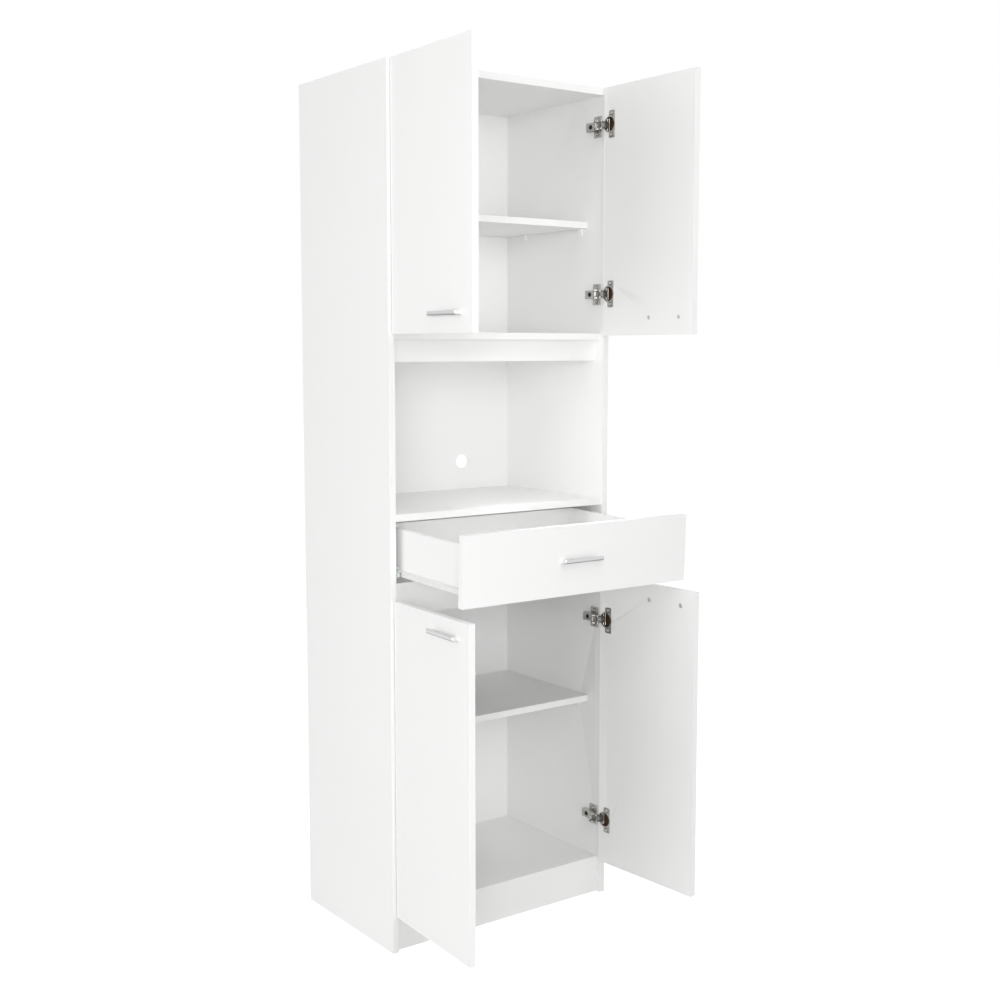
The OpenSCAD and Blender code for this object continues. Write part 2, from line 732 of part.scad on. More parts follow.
module outer_links(d) {
    color(dark_steel) from_front() at_hinge_side(d[0]) link_swung(outer_arm_pin, outer_ratio * d[3])
        for (z = d[4]) translate([0, 0, z]) outer_link();
}

// The inner link ends in an open hook, whose mouth follows the cup pin's path
module inner_link() {
    path = concat([[inner_cup_pin.x, inner_cup_pin.y, inner_link_ends[0]]], inner_link_bends,
        [[inner_arm_pin.x, inner_arm_pin.y, inner_link_ends[1]]]);
    hook_gap = 0.35;
    hook_cut = 1.2;   // the hook's lips end this far short of the pin's middle
    difference() {
        translate([0, 0, -inner_link_half]) linear_extrude(2 * inner_link_half) limb(path);
        upright_pin(inner_arm_pin, pin_r + pin_fit, -arm_half, arm_half);
        for (angle = [0 : 15 : hinge_travel])
            upright_pin(pin_in_inner_link(angle), pin_r + hook_gap, -arm_half, arm_half);
        box([inner_cup_pin.x - 2 * inner_link_ends[0], inner_cup_pin.y - 2 * inner_link_ends[0], -arm_half],
            [inner_cup_pin.x + hook_cut, inner_cup_pin.y + 2 * inner_link_ends[0], arm_half]);
    }
}

module inner_links(d) {
    color(dark_steel) from_front() at_hinge_side(d[0]) link_swung(inner_arm_pin, inner_ratio * d[3])
        for (z = d[4]) translate([0, 0, z]) inner_link();
}

// ---- Doors ----

module door(d) {
    color(laminate) from_front() at_hinge_side(d[0]) swung(d[3]) difference() {
        translate([-overlay, door_gap, d[1]]) cube([door_w, board_t, d[2]]);
        for (z = d[4]) {
            on_door_back(cup_from_edge, z) translate([0, 0, -eps])
                cylinder(d = cup_d, h = cup_bore_depth + eps);
            for (k = [-0.5, 0.5]) on_door_back(cup_screw_u, z + k * cup_screw_pitch)
                translate([0, 0, -eps]) cylinder(r = screw_r + screw_gap, h = screw_depth + eps);
        }
        for (u = handle_us) on_door_back(u, d[5]) translate([0, 0, -eps])
            cylinder(r = handle_screw_r + screw_gap, h = board_t + 2 * eps);
    }
}

module door_screws(d) {
    color("silver") from_front() at_hinge_side(d[0]) swung(d[3]) {
        for (z = d[4], k = [-0.5, 0.5]) on_door_back(cup_screw_u, z + k * cup_screw_pitch) {
            translate([0, 0, -flange_t - screw_head_h]) cylinder(r = screw_head_r, h = screw_head_h);
            translate([0, 0, -flange_t - root]) cylinder(r = screw_r, h = screw_depth);
        }
        for (u = handle_us) on_door_back(u, d[5]) handle_screw();
    }
}

// From the back of a board into a handle's foot
module handle_screw() {
    translate([0, 0, -screw_head_h]) cylinder(r = handle_screw_head_r, h = screw_head_h);
    translate([0, 0, -root]) cylinder(r = handle_screw_r, h = board_t + handle_screw_depth);
}

module rounded_rect(w, h, r) {
    translate([-w / 2 + r, -h / 2]) square([w - 2 * r, h]);
    translate([-w / 2, -h / 2 + r]) square([w, h - 2 * r]);
    for (i = [-1, 1], k = [-1, 1]) translate([i * (w / 2 - r), k * (h / 2 - r)]) circle(r = r);
}

// A bar on two feet. It lies along X, stands out along +Z, and its height is along Y.
module bar_handle() {
    length = handle_pitch + handle_foot_w;
    difference() {
        union() {
            translate([-length / 2, 0, handle_reach - handle_bar_t / 2]) rotate([90, 0, 90])
                linear_extrude(length) rounded_rect(handle_bar_h, handle_bar_t, 1.5);
            for (i = [-0.5, 0.5]) translate([i * handle_pitch, 0, 0])
                linear_extrude(handle_reach - handle_bar_t / 2) rounded_rect(handle_foot_w, handle_bar_h, 2);
        }
        for (i = [-0.5, 0.5]) translate([i * handle_pitch, 0, -eps])
            cylinder(r = handle_screw_r + fit, h = handle_screw_depth + 1 + eps);
    }
}

module door_handle(d) {
    color("silver") from_front() at_hinge_side(d[0]) swung(d[3])
        on_door_back((handle_us[0] + handle_us[1]) / 2, d[5]) translate([0, 0, board_t]) bar_handle();
}

// ---- Drawer, drawn shut and level ----

// The drawer tips about the cabinet's rollers and slides out over them
module drawer_place() {
    translate([0, roller_y, roller_z]) rotate([drawer_droop * drawer_out / drawer_travel, 0, 0])
        translate([0, -roller_y - drawer_out, -roller_z]) children();
}

module drawer_front() {
    color(laminate) from_front() drawer_place() difference() {
        box([-drawer_front_w / 2, -door_gap - board_t, drawer_front_z],
            [drawer_front_w / 2, -door_gap, drawer_front_z + drawer_front_h]);
        for (i = [-0.5, 0.5]) translate([i * handle_pitch, -door_gap - board_t - eps, drawer_handle_z])
            rotate([-90, 0, 0]) cylinder(r = handle_screw_r + screw_gap, h = board_t + 2 * eps);
        for (side = [left, right], rise = drawer_dowel_rises)
            drawer_dowel(side, rise, drawer_dowel_r + fit, bore_end);
    }
}

module drawer_dowel(side, rise, r, extra) {
    x = side * (drawer_half_w - drawer_side_t / 2);
    translate([x, -door_gap - drawer_dowel_in_front - extra, drawer_z + rise]) rotate([-90, 0, 0])
        cylinder(r = r, h = drawer_dowel_l + 2 * extra);
}

module drawer_side(side) {
    color(laminate) from_front() drawer_place() difference() {
        mirror([side > 0 ? 0 : 1, 0, 0]) difference() {
            box([drawer_half_w - drawer_side_t, -door_gap, drawer_z],
                [drawer_half_w, drawer_back_y, drawer_z + drawer_side_h]);
            box([drawer_half_w - drawer_side_t - eps, -door_gap - eps, drawer_z + groove_rise],
                [drawer_half_w - drawer_side_t + groove_depth, drawer_back_y + eps,
                 drawer_z + groove_rise + bottom_t + 2 * groove_gap]);
            for (rise = drawer_dowel_rises) drawer_dowel(right, rise, drawer_dowel_r + fit, bore_end);
            for (rise = drawer_back_screws)
                peg(right, drawer_half_w + eps, drawer_back_y - drawer_side_t / 2, drawer_z + rise,
                    screw_r + screw_gap, drawer_side_t + 2 * eps);
        }
    }
}

module drawer_side_left() {
    drawer_side(left);
}

module drawer_side_right() {
    drawer_side(right);
}

module drawer_back() {
    color(laminate) from_front() drawer_place() difference() {
        box([-drawer_half_w + drawer_side_t, drawer_back_y - drawer_side_t, drawer_z + drawer_back_low],
            [drawer_half_w - drawer_side_t, drawer_back_y, drawer_z + drawer_side_h]);
        for (side = [left, right], rise = drawer_back_screws)
            peg(side, drawer_half_w, drawer_back_y - drawer_side_t / 2, drawer_z + rise,
                screw_r + screw_gap, drawer_side_t + drawer_screw_l + 5);
    }
}

module drawer_bottom() {
    half = drawer_half_w - drawer_side_t + groove_depth - groove_gap;
    color(laminate) from_front() drawer_place()
        box([-half, -door_gap, drawer_z + groove_rise + groove_gap],
            [half, drawer_back_y, drawer_z + groove_rise + groove_gap + bottom_t]);
}

module drawer_handle() {
    color("silver") from_front() drawer_place() translate([0, -door_gap - board_t, drawer_handle_z])
        rotate([90, 0, 0]) bar_handle();
}

module drawer_screws() {
    color("silver") from_front() drawer_place() {
        for (i = [-0.5, 0.5]) translate([i * handle_pitch, -door_gap, drawer_handle_z]) rotate([90, 0, 0])
            handle_screw();
        for (side = [left, right], rise = drawer_back_screws) {
            peg(side, drawer_half_w + screw_head_h, drawer_back_y - drawer_side_t / 2, drawer_z + rise,
                screw_head_r, screw_head_h);
            peg(side, drawer_half_w + root, drawer_back_y - drawer_side_t / 2, drawer_z + rise,
                screw_r, drawer_side_t + drawer_screw_l);
        }
    }
}

module drawer_dowels() {
    color(birch) from_front() drawer_place() for (side = [left, right], rise = drawer_dowel_rises)
        drawer_dowel(side, rise, drawer_dowel_r, 0);
}

// Angle under each drawer side, with a ledge that rolls on the cabinet's rollers
module drawer_runners() {
    color("white") from_front() drawer_place() for (side = [left, right]) mirror([side > 0 ? 0 : 1, 0, 0]) {
        box([drawer_half_w, -door_gap, drawer_z - runner_t],
            [drawer_half_w + runner_t, drawer_back_y, drawer_z + ledge_rise + runner_t]);
        box([drawer_half_w - under_flange_w, -door_gap, drawer_z - runner_t],
            [drawer_half_w + runner_t, drawer_back_y, drawer_z]);
        box([drawer_half_w, -door_gap, drawer_z + ledge_rise],
            [drawer_half_w + runner_t + ledge_w, drawer_back_y, drawer_z + ledge_rise + runner_t]);
        peg(right, inner_x - runner_t - axle_gap, drawer_roller_y, roller_z, roller_bore_r,
            runner_space - runner_t - axle_gap);
    }
}

module drawer_rollers() {
    color("gainsboro") from_front() drawer_place() for (side = [left, right])
        roller(side, drawer_half_w + runner_t + roller_gap + roller_w, drawer_roller_y);
}

// A roller whose outer face lies at x, from which it reaches towards the middle of the cabinet
module roller(side, x, y) {
    difference() {
        peg(side, x, y, roller_z, roller_r, roller_w);
        peg(side, x + eps, y, roller_z, roller_bore_r + pin_fit, roller_w + 2 * eps);
    }
}

// Channel on each side: a track for the drawer's rollers, a lip over the ledge, and a stop
module cabinet_runners() {
    rest_y = drawer_roller_y - drawer_travel;
    rise = (rest_y - roller_y) * sin(drawer_droop);
    stop_drop = roller_z + rise - (track_z + stop_h);
    stop_y = rest_y - sqrt(roller_r * roller_r - stop_drop * stop_drop) - roller_play;
    color("white") from_front() for (side = [left, right]) mirror([side > 0 ? 0 : 1, 0, 0]) {
        difference() {
            box([inner_x - runner_t, cabinet_runner_y[0], track_z - runner_t],
                [inner_x, cabinet_runner_y[1], lip_z + runner_t]);
            for (y = runner_screw_y)
                peg(right, inner_x + eps, y, roller_z, screw_r + screw_gap, runner_t + 2 * eps);
        }
        box([inner_x - runner_t - track_w, track_start, track_z - runner_t],
            [inner_x, cabinet_runner_y[1], track_z]);
        box([inner_x - runner_t - lip_w, cabinet_runner_y[0], lip_z],
            [inner_x, cabinet_runner_y[1], lip_z + runner_t]);
        box([inner_x - runner_t - track_w, stop_y - runner_t, track_z], [inner_x, stop_y, track_z + stop_h]);
        peg(right, inner_x, roller_y, roller_z, roller_bore_r, runner_t + roller_gap + roller_w);
    }
}

module cabinet_rollers() {
    color("gainsboro") from_front() for (side = [left, right])
        roller(side, inner_x - runner_t - roller_gap, roller_y);
}

side_left();
side_right();
top_panel();
upper_shelf();
fixed_panel();
niche_rail();
niche_floor();
drawer_rail();
lower_shelf();
floor_panel();
plinth();
back_upper();
back_niche();
back_lower();
cam_locks();
cam_bolts();
dowels();
shelf_pins();
carcass_screws();
hinge_plates();
hinge_arms();
door(upper_left);  // upper_left_door
door_cups(upper_left);  // upper_left_cups
outer_links(upper_left);  // upper_left_outer_links
inner_links(upper_left);  // upper_left_inner_links
door_screws(upper_left);  // upper_left_screws
door_handle(upper_left);  // upper_left_handle
door(upper_right);  // upper_right_door
door_cups(upper_right);  // upper_right_cups
outer_links(upper_right);  // upper_right_outer_links
inner_links(upper_right);  // upper_right_inner_links
door_screws(upper_right);  // upper_right_screws
door_handle(upper_right);  // upper_right_handle
door(lower_left);  // lower_left_door
door_cups(lower_left);  // lower_left_cups
outer_links(lower_left);  // lower_left_outer_links
inner_links(lower_left);  // lower_left_inner_links
door_screws(lower_left);  // lower_left_screws
door_handle(lower_left);  // lower_left_handle
door(lower_right);  // lower_right_door
door_cups(lower_right);  // lower_right_cups
outer_links(lower_right);  // lower_right_outer_links
inner_links(lower_right);  // lower_right_inner_links
door_screws(lower_right);  // lower_right_screws
door_handle(lower_right);  // lower_right_handle
drawer_front();
drawer_side_left();
drawer_side_right();
drawer_back();
drawer_bottom();
drawer_handle();
drawer_screws();
drawer_dowels();
drawer_runners();
drawer_rollers();
cabinet_runners();
cabinet_rollers();
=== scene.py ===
# %% [markdown]
# # A tall kitchen cabinet with a microwave niche
# The cabinet is a flat-pack carcass of white melamine boards. Two pairs of doors hang on
# concealed hinges, a drawer runs on roller runners, and an open niche holds a microwave oven.
# This lesson loads the measured model as a fixed frame and gives every piece its finished
# surface. White boards on a white ground are read only by their edges, seams and shadows, so most
# of the work goes there.

# %% Load the frame
import json
import math

import bmesh
import bpy
import numpy as np
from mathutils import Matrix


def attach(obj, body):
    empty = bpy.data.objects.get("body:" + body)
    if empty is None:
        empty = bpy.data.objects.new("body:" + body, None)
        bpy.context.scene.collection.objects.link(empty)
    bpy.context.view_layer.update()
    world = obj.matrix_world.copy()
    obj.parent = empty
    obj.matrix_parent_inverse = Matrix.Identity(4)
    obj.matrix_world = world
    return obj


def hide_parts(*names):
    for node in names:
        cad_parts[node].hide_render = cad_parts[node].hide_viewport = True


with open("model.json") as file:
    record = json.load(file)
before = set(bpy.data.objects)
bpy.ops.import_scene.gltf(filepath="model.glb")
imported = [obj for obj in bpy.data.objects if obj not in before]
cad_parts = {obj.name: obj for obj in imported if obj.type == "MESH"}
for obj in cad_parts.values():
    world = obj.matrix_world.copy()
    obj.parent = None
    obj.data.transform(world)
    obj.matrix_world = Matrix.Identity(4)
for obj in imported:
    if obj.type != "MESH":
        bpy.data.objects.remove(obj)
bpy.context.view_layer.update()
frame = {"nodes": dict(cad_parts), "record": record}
nodes = frame["nodes"]
MM = 0.001
UP = np.array([0, 0, 1])
BODIES = frame["record"]["behaviour"]["bodies"]
BODY_OF = {node: body for body, names in BODIES.items() for node in names}
DOORS = ["upper_left", "upper_right", "lower_left", "lower_right"]

# %% [markdown]
# ## The camera
# The photograph was taken from the left of the cabinet, a little above its middle. The place,
# turn and lens below were solved from the corners of the carcass, whose sizes are known.
# Blender's shift moves the optical axis off the picture's middle, as a slight crop of the
# photograph does.

# %% Camera
PICTURE_PX = 1000
SENSOR_MM = 36
CAMERA_MM = (-1816.63, -2483.98, 1308.66)
YAW, PITCH = 0.6326, -0.102
FOCAL_PX = 1381.53
AXIS_PX = (501.06, 490.57)


def make_camera():
    """A camera turned by YAW from +Y towards +X and tilted by PITCH, with its axis at AXIS_PX."""
    data = bpy.data.cameras.new("camera")
    data.sensor_width = SENSOR_MM
    data.lens = SENSOR_MM * FOCAL_PX / PICTURE_PX
    data.shift_x = (PICTURE_PX / 2 - AXIS_PX[0]) / PICTURE_PX
    data.shift_y = (AXIS_PX[1] - PICTURE_PX / 2) / PICTURE_PX
    camera = bpy.data.objects.new("camera", data)
    camera.location = [c * MM for c in CAMERA_MM]
    camera.rotation_euler = (math.pi / 2 + PITCH, 0, -YAW)
    bpy.context.collection.objects.link(camera)
    bpy.context.scene.camera = camera
    return camera


camera = make_camera()
print("lens in mm:", round(camera.data.lens, 1))

# %% [markdown]
# ## Floor, world and lamps
# A white studio is light from all sides: the world gives an even level at which a colour renders
# about as it is written, and soft lamps add the small differences between faces. Faint lamps just
# inside the openings add the light that white walls pass on to each other, and closed doors hide
# them. A narrow lamp shines into the open drawer from above. The ground is white to the camera
# through Light Path, not through more light, and still takes the shadow.

# %% Stage
scene = bpy.context.scene
scene.view_settings.view_transform = "Standard"
WORLD_LEVEL = 0.4
GROUND_LIFT = 0.75
GROUND_TONE = 0.72
FLOOR_SIZE = 40


def seen_directly(tree):
    """1 for camera, glossy and transmission rays, 0 for the rays that light the object."""
    path = tree.nodes.new("ShaderNodeLightPath")
    total = path.outputs["Is Camera Ray"]
    for ray in ("Is Glossy Ray", "Is Transmission Ray"):
        larger = tree.nodes.new("ShaderNodeMath")
        larger.operation = "MAXIMUM"
        tree.links.new(total, larger.inputs[0])
        tree.links.new(path.outputs[ray], larger.inputs[1])
        total = larger.outputs[0]
    return total


def make_world():
    """Even light at WORLD_LEVEL, and plain white where the world is seen."""
    world = bpy.data.worlds.new("studio")
    world.use_nodes = True
    scene.world = world
    tree = world.node_tree
    background = tree.nodes["Background"]
    background.inputs["Color"].default_value = (1, 1, 1, 1)
    level = tree.nodes.new("ShaderNodeMapRange")
    level.inputs["To Min"].default_value = WORLD_LEVEL
    level.inputs["To Max"].default_value = 1
    tree.links.new(seen_directly(tree), level.inputs["Value"])
    tree.links.new(level.outputs["Result"], background.inputs["Strength"])


def make_floor():
    """A wide pale floor: diffuse, plus a lift that only directly seen rays get."""
    mesh = bpy.data.meshes.new("floor")
    half = FLOOR_SIZE / 2
    corners = [(-half, -half, 0), (half, -half, 0), (half, half, 0), (-half, half, 0)]
    mesh.from_pydata(corners, [], [(0, 1, 2, 3)])
    floor = bpy.data.objects.new("floor", mesh)
    bpy.context.collection.objects.link(floor)
    material = bpy.data.materials.new("floor")
    material.use_nodes = True
    tree = material.node_tree
    tree.nodes.clear()
    diffuse = tree.nodes.new("ShaderNodeBsdfDiffuse")
    diffuse.inputs["Color"].default_value = (GROUND_TONE, GROUND_TONE, GROUND_TONE, 1)
    lift = tree.nodes.new("ShaderNodeEmission")
    strength = tree.nodes.new("ShaderNodeMath")
    strength.operation = "MULTIPLY"
    strength.inputs[1].default_value = GROUND_LIFT
    tree.links.new(seen_directly(tree), strength.inputs[0])
    tree.links.new(strength.outputs[0], lift.inputs["Strength"])
    both = tree.nodes.new("ShaderNodeAddShader")
    out = tree.nodes.new("ShaderNodeOutputMaterial")
    tree.links.new(diffuse.outputs[0], both.inputs[0])
    tree.links.new(lift.outputs[0], both.inputs[1])
    tree.links.new(both.outputs[0], out.inputs["Surface"])
    mesh.materials.append(material)


# name: (place, aimed at, size, power in watts, spread in degrees)
LAMPS = {
    "front": ((-0.6, -2.6, 1.9), (0, 0, 1.2), 1.0, 2.5, 180),
    "beside_camera": ((-3.6, -4.9, 1.6), (0, 0, 1.0), 2.0, 93, 180),
    "left": ((-3.4, -0.2, 1.4), (0, 0.1, 1.0), 2.4, 31, 180),
    "top": ((-0.4, -1.6, 4.0), (0, 0, 0.8), 2.4, 32, 180),
    "right": ((3.4, -0.4, 1.5), (0, 0, 1.0), 2.4, 28, 180),
    "back": ((0.6, 3.6, 1.7), (0, 0, 1.0), 2.4, 34, 180),
    "upper_doors": ((-0.5, -1.1, 1.6), (0.3, 0.0, 1.6), 0.5, 1.3, 180),
    "lower_doors": ((-0.5, -1.1, 0.5), (0.3, 0.0, 0.5), 0.5, 1.0, 180),
    "niche": ((-0.12, 0.005, 1.13), (0.2, 0.24, 1.09), 0.22, 0.13, 130),
    "upper_bay": ((0.14, 0.005, 1.745), (0.15, 0.3, 1.74), 0.19, 0.05, 75),
    "upper_bay_below": ((0.14, 0.005, 1.467), (0.15, 0.3, 1.46), 0.17, 0.055, 75),
    "lower_bay": ((0.14, 0.005, 0.61), (0.15, 0.3, 0.58), 0.14, 0.03, 75),
    "lower_bay_below": ((0.14, 0.005, 0.28), (0.15, 0.3, 0.2), 0.2, 0.045, 80),
    "above_drawer": ((0, -0.17, 2.6), (0, -0.17, 0.9), 0.2, 0.22, 14),
}


def make_lamps():
    """Square soft boxes, each turned to face its target."""
    for name, (place, target, size, power, spread) in LAMPS.items():
        data = bpy.data.lights.new(name, "AREA")
        data.shape = "SQUARE"
        data.size = size
        data.energy = power
        data.spread = math.radians(spread)
        lamp = bpy.data.objects.new(name, data)
        lamp.location = place
        lamp.visible_camera = False
        aim = np.array(target, float) - np.array(place, float)
        tilt = math.acos(-aim[2] / np.linalg.norm(aim))
        lamp.rotation_euler = (tilt, 0, math.atan2(aim[1], aim[0]) - math.pi / 2)
        bpy.context.collection.objects.link(lamp)


make_world()
make_floor()
make_lamps()
print("lamps:", len(LAMPS))

# %% [markdown]
# ## Two shared surface effects
# Melamine board is pressed against a fine-grained plate: it has a faint pearl and is never
# perfectly even in tone. Pressed and plated steel shows drawn streaks and a tone that drifts.
# Both effects are shader groups with named inputs, so that each material only sets its own
# amounts.

# %% Shader groups
SMUDGE, UNEVEN = 0.12, 0.16  # how far roughness drifts, on board and on metal
FINE_PEARL, BROAD_PEARL = 0.6, 0.4  # their shares of the height
LEVEL_STREAKS = (0.06, 0.06, 3)  # noise drawn out along X and Y
OUTPUTS = [("Color", "NodeSocketColor"), ("Roughness", "NodeSocketFloat"),
           ("Height", "NodeSocketFloat")]


def new_group(name, inputs, outputs):
    """An empty shader group with its sockets, and its input and output nodes."""
    group = bpy.data.node_groups.new(name, "ShaderNodeTree")
    for label, kind, value in inputs:
        socket = group.interface.new_socket(label, in_out="INPUT", socket_type=kind)
        socket.default_value = value
    for label, kind in outputs:
        group.interface.new_socket(label, in_out="OUTPUT", socket_type=kind)
    return group, group.nodes.new("NodeGroupInput"), group.nodes.new("NodeGroupOutput")


def math_node(tree, operation, first, second):
    """One Math node; each operand is a socket or a number."""
    node = tree.nodes.new("ShaderNodeMath")
    node.operation = operation
    for socket, value in zip(node.inputs, (first, second)):
        if isinstance(value, bpy.types.NodeSocket):
            tree.links.new(value, socket)
        else:
            socket.default_value = value
    return node.outputs[0]


def noise(tree, scale, detail, stretch=(1, 1, 1)):
    """Noise on Object coordinates, in cells per metre, stretched by a Mapping node."""
    place = tree.nodes.new("ShaderNodeTexCoord")
    mapping = tree.nodes.new("ShaderNodeMapping")
    mapping.inputs["Scale"].default_value = stretch
    texture = tree.nodes.new("ShaderNodeTexNoise")
    texture.inputs["Scale"].default_value = scale
    texture.inputs["Detail"].default_value = detail
    tree.links.new(place.outputs["Object"], mapping.inputs["Vector"])
    tree.links.new(mapping.outputs["Vector"], texture.inputs["Vector"])
    return texture.outputs["Fac"]


def toned(tree, colour, amount, fac):
    """colour * (1 + amount * (fac - 0.5)): a colour that drifts with a mask."""
    centred = math_node(tree, "SUBTRACT", fac, 0.5)
    drift = math_node(tree, "MULTIPLY", amount, centred)
    gain = math_node(tree, "ADD", drift, 1)
    scaled = tree.nodes.new("ShaderNodeVectorMath")
    scaled.operation = "SCALE"
    tree.links.new(colour, scaled.inputs[0])
    tree.links.new(gain, scaled.inputs["Scale"])
    return scaled.outputs[0]


def make_pearl():
    """Pressed melamine: a slow drift of tone, fine pearl in height, faint smudges in roughness."""
    group, given, result = new_group(
        "pearl",
        [("Color", "NodeSocketColor", (0.8, 0.8, 0.8, 1)), ("Drift", "NodeSocketFloat", 0.03),
         ("Roughness", "NodeSocketFloat", 0.4)],
        OUTPUTS,
    )
    slow = noise(group, scale=2.2, detail=3)
    colour = toned(group, given.outputs["Color"], given.outputs["Drift"], slow)
    group.links.new(colour, result.inputs["Color"])
    smudge = math_node(group, "MULTIPLY", noise(group, scale=14, detail=4), SMUDGE)
    roughness = math_node(group, "ADD", given.outputs["Roughness"], smudge)
    group.links.new(roughness, result.inputs["Roughness"])
    fine = math_node(group, "MULTIPLY", noise(group, scale=900, detail=2), FINE_PEARL)
    broad = math_node(group, "MULTIPLY", noise(group, scale=260, detail=1), BROAD_PEARL)
    group.links.new(math_node(group, "ADD", fine, broad), result.inputs["Height"])
    return group


def make_drawn():
    """Drawn or plated metal: streaks in tone and height, uneven roughness, and painted shade on
    faces that point down.
    """
    group, given, result = new_group(
        "drawn",
        [("Color", "NodeSocketColor", (0.7, 0.7, 0.7, 1)), ("Streak", "NodeSocketFloat", 0.2),
         ("Roughness", "NodeSocketFloat", 0.25), ("Painted shade below", "NodeSocketFloat", 0.8)],
        OUTPUTS,
    )
    streak = noise(group, scale=500, detail=3, stretch=LEVEL_STREAKS)
    facing = group.nodes.new("ShaderNodeTexCoord")
    parts = group.nodes.new("ShaderNodeSeparateXYZ")
    group.links.new(facing.outputs["Normal"], parts.inputs[0])
    # Painted shade: the colour darkens where the normal points down, by the Painted shade below
    # amount.
    downward = math_node(group, "MAXIMUM", math_node(group, "MULTIPLY", parts.outputs["Z"], -1), 0)
    painted_shade = math_node(group, "MULTIPLY", downward, given.outputs["Painted shade below"])
    painted_shade_colour = toned(group, given.outputs["Color"], -1, math_node(group, "ADD", painted_shade, 0.5))
    colour = toned(group, painted_shade_colour, given.outputs["Streak"], streak)
    group.links.new(colour, result.inputs["Color"])
    spread = math_node(group, "MULTIPLY", noise(group, scale=180, detail=3), UNEVEN)
    roughness = math_node(group, "ADD", given.outputs["Roughness"], spread)
    group.links.new(roughness, result.inputs["Roughness"])
    group.links.new(streak, result.inputs["Height"])
    return group


GROUPS = {"pearl": make_pearl(), "drawn": make_drawn()}
print("groups:", sorted(GROUPS))

# %% [markdown]
# ## Finishes
# Each finish is a Principled shader fed by one of the two groups. The bump distance is a real
# depth, given here in micrometres, so the pearl of the board stays fine and never looks like
# plaster.

# %% Materials
MICROMETRE = 1e-6


def finish_of(name, group, colour, roughness, amount, depth, metallic):
    """A Principled material whose colour, roughness and bump come from a shared group."""
    material = bpy.data.materials.new(name)
    material.use_nodes = True
    tree = material.node_tree
    shader = tree.nodes["Principled BSDF"]
    shader.inputs["Metallic"].default_value = metallic
    effect = tree.nodes.new("ShaderNodeGroup")
    effect.node_tree = GROUPS[group]
    effect.inputs["Color"].default_value = (*colour, 1)
    effect.inputs["Roughness"].default_value = roughness
    effect.inputs[1].default_value = amount  # Drift or Streak
    bump = tree.nodes.new("ShaderNodeBump")
    bump.inputs["Distance"].default_value = depth * MICROMETRE
    bump.inputs["Strength"].default_value = 1
    tree.links.new(effect.outputs["Color"], shader.inputs["Base Color"])
    tree.links.new(effect.outputs["Roughness"], shader.inputs["Roughness"])
    tree.links.new(effect.outputs["Height"], bump.inputs["Height"])
    tree.links.new(bump.outputs["Normal"], shader.inputs["Normal"])
    return material


# name: (group, colour, roughness, amount of drift or streak, depth in micrometres, metallic)
FINISHES = {
    "white_laminate": ("pearl", (0.935, 0.935, 0.928), 0.36, 0.02, 10, 0.0),
    "white_back": ("pearl", (0.95, 0.95, 0.948), 0.42, 0.03, 10, 0.0),
    "white_plastic": ("pearl", (0.96, 0.96, 0.955), 0.25, 0.02, 10, 0.0),
    "roller_plastic": ("pearl", (0.7, 0.78, 0.73), 0.3, 0.05, 10, 0.0),
    "runner_enamel": ("pearl", (0.84, 0.84, 0.83), 0.3, 0.03, 20, 0.0),
    "dowel_wood": ("drawn", (0.62, 0.44, 0.26), 0.6, 0.4, 50, 0.0),
    "handle_metal": ("drawn", (0.63, 0.63, 0.635), 0.24, 0.08, 1, 1.0),
    "polished_feet": ("drawn", (0.92, 0.92, 0.91), 0.1, 0.03, 1, 1.0),
    "hinge_nickel": ("drawn", (0.6, 0.59, 0.56), 0.16, 0.15, 5, 1.0),
    "hinge_links": ("drawn", (0.15, 0.145, 0.135), 0.42, 0.2, 5, 1.0),
    "blackened": ("drawn", (0.035, 0.033, 0.03), 0.4, 0.3, 10, 0.6),
    # painted shade: the dark brown of the hinge cups' deep hollows
    "painted_cup_shade": ("drawn", (0.13, 0.075, 0.045), 0.35, 0.5, 20, 0.7),
    "zinc": ("drawn", (0.6, 0.6, 0.59), 0.24, 0.15, 5, 1.0),
}
FINISH = {name: finish_of(name, *values) for name, values in FINISHES.items()}
SLOT_OF = {entry["node"]: entry["material_slot"] for entry in frame["record"]["subparts"]}


def dress(obj, slot_name):
    """Gives an object one finish, in all its slots."""
    obj.data.materials.clear()
    obj.data.materials.append(FINISH[slot_name])


for name, node in nodes.items():
    for slot in node.material_slots:
        slot.material = FINISH[SLOT_OF[name]]
print("finishes:", sorted(FINISH))

# %% [markdown]
# ## Eased edges
# No real edge is sharp: an edge band is scraped to a radius of about half a millimetre, and
# pressed steel rolls over at its rim. That thin roundness catches the light and draws every
# board's outline. A copy of each solid has its loose triangles joined and its flat faces merged,
# and then a Bevel modifier rounds only what is sharper than a limit, so the bores stay where they
# are.

# %% Eased copies
FLAT_ANGLE = math.radians(0.5)
SHARP_ANGLE = math.radians(35)
WELD = 1e-6
EASE_SEGMENTS = 2


def eased_copy(node, radius):
    """A merged copy of a CAD node with its sharp edges rounded to a radius in metres."""
    mesh = bpy.data.meshes.new(node + "_eased")
    shell = bmesh.new()
    shell.from_mesh(nodes[node].data)
    bmesh.ops.remove_doubles(shell, verts=shell.verts, dist=WELD)
    bmesh.ops.dissolve_limit(shell, angle_limit=FLAT_ANGLE, verts=shell.verts, edges=shell.edges)
    shell.to_mesh(mesh)
    shell.free()
    mesh.shade_smooth()
    mesh.set_sharp_from_angle(angle=SHARP_ANGLE)
    piece = bpy.data.objects.new(node + "_eased", mesh)
    bpy.context.collection.objects.link(piece)
    bevel = piece.modifiers.new("ease", "BEVEL")
    bevel.width = radius
    bevel.segments = EASE_SEGMENTS
    bevel.limit_method = "ANGLE"
    bevel.angle_limit = SHARP_ANGLE
    bevel.harden_normals = True
    dress(piece, SLOT_OF[node])
    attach(piece, BODY_OF[node])
    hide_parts(node)


